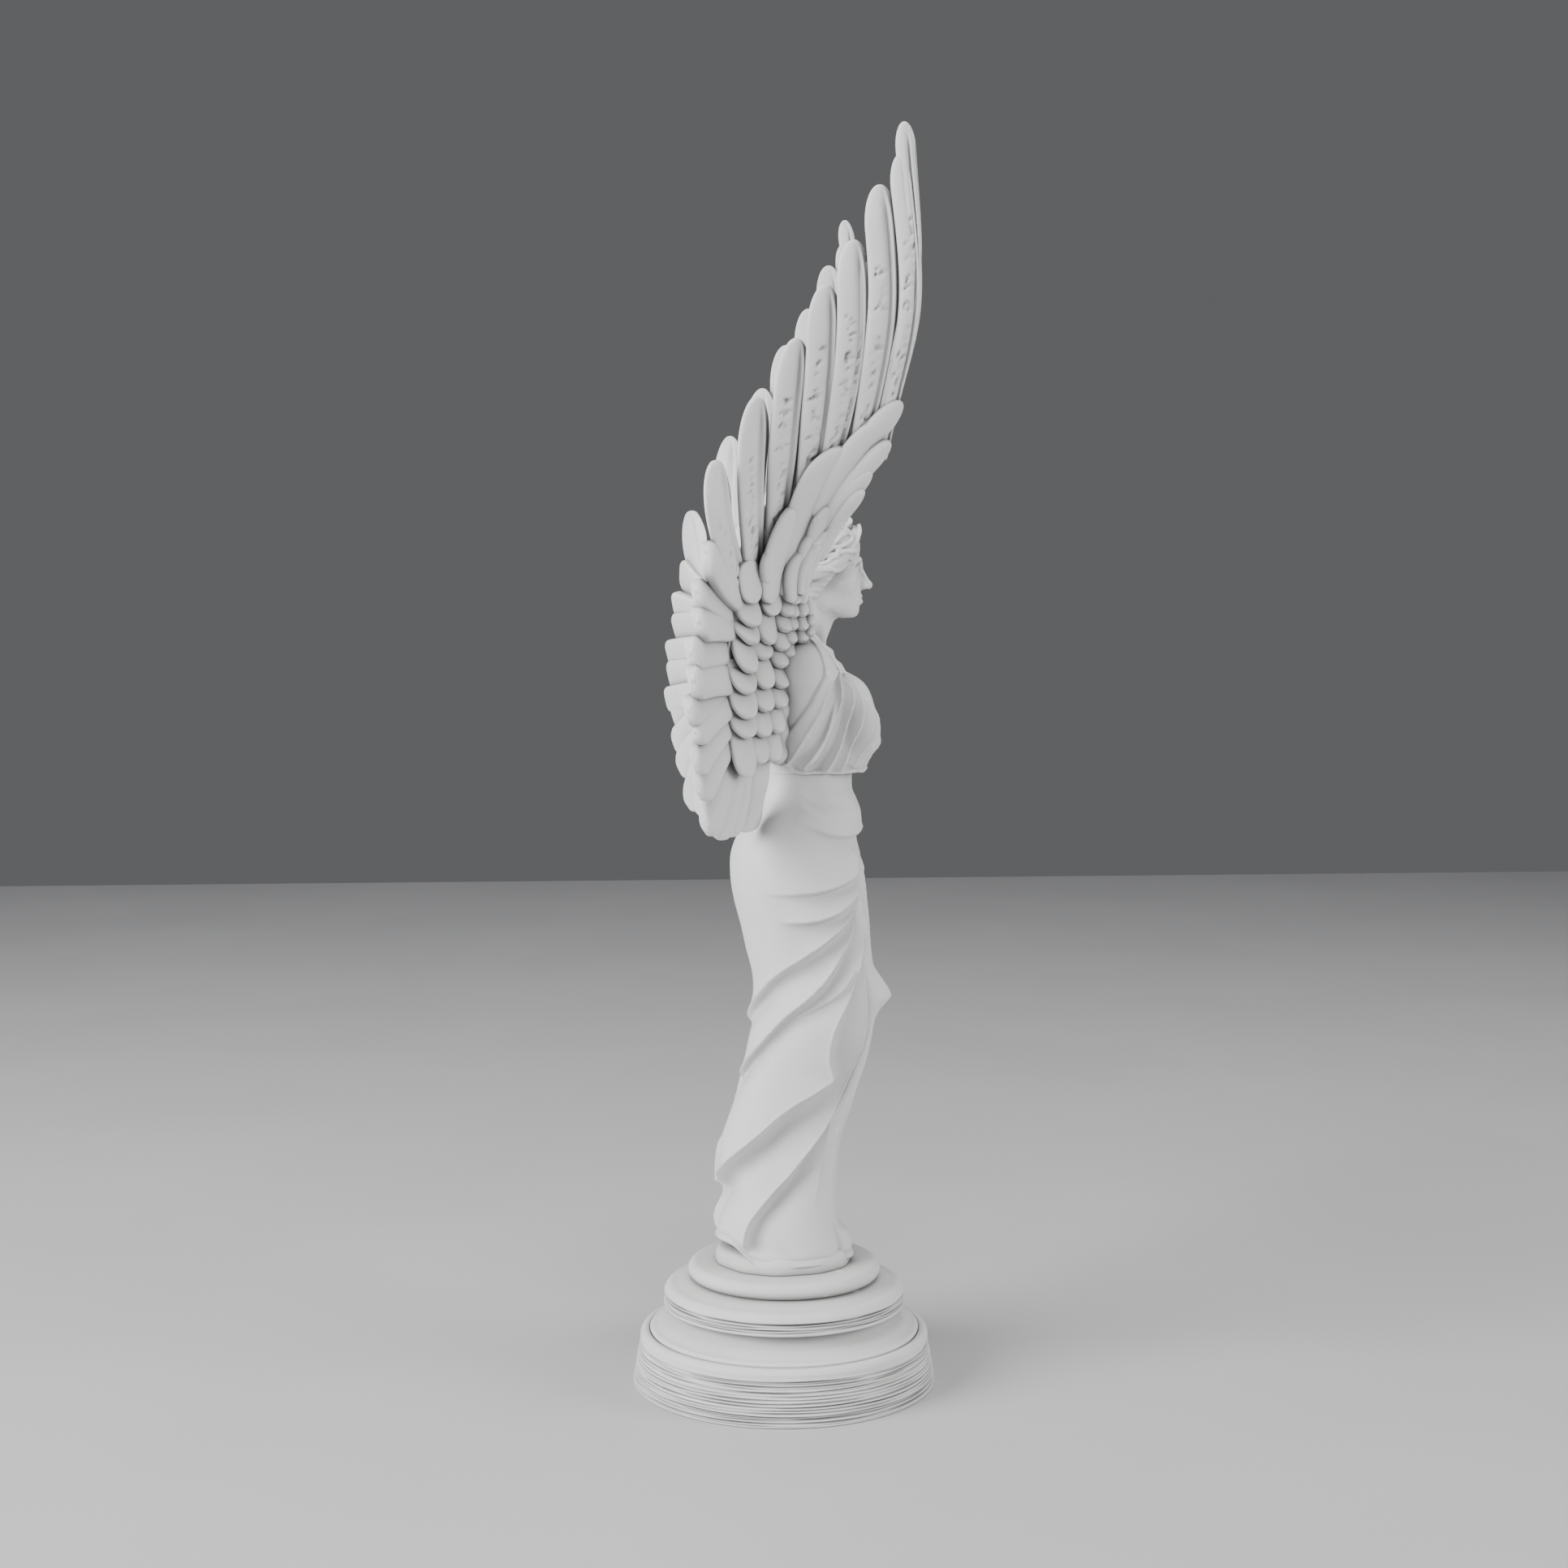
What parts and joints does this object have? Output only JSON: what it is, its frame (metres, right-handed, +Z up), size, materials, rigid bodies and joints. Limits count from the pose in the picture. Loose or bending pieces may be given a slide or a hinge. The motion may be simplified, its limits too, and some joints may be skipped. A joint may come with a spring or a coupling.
{
  "type": "figure trophy",
  "caption": "Figure trophy: a winged, draped standing figure with raised wings on a stepped round base, cast in matte off-white stone resin.",
  "frame": {"origin": "centre of the underside of the round base, on the surface it stands on", "axes": "+Z up through the figure, -Y the way the figure faces, +X to the figure's left"},
  "size_m": [0.168, 0.1016, 0.4001],
  "materials": {
    "figure_cast": "matte",
    "wing_cast": "matte",
    "base_cast": "matte",
    "steel": "satin",
    "brass": "satin",
    "felt": "matte"
  },
  "bodies": {
    "root": {"base_collar": "base_cast", "base_drum": "base_cast", "bodice": "figure_cast", "felt_pad": "felt", "figure_socle": "figure_cast", "head": "figure_cast", "left_greater_coverts": "wing_cast", "left_inner_coverts": "wing_cast", "left_primaries": "wing_cast", "left_scale_coverts": "wing_cast", "left_secondaries": "wing_cast", "left_tertials": "wing_cast", "left_wing_core": "wing_cast", "left_wing_pins": "steel", "locating_pins": "steel", "lock_washer": "steel", "middle_disc": "base_cast", "neck_pin": "steel", "right_greater_coverts": "wing_cast", "right_inner_coverts": "wing_cast", "right_primaries": "wing_cast", "right_scale_coverts": "wing_cast", "right_secondaries": "wing_cast", "right_tertials": "wing_cast", "right_wing_core": "wing_cast", "right_wing_pins": "steel", "rod_nut": "steel", "rod_washer": "steel", "skirt": "figure_cast", "skirt_insert": "brass", "tie_rod": "steel", "top_disc": "base_cast", "waist_stud": "steel"}
  },
  "joints": []
}
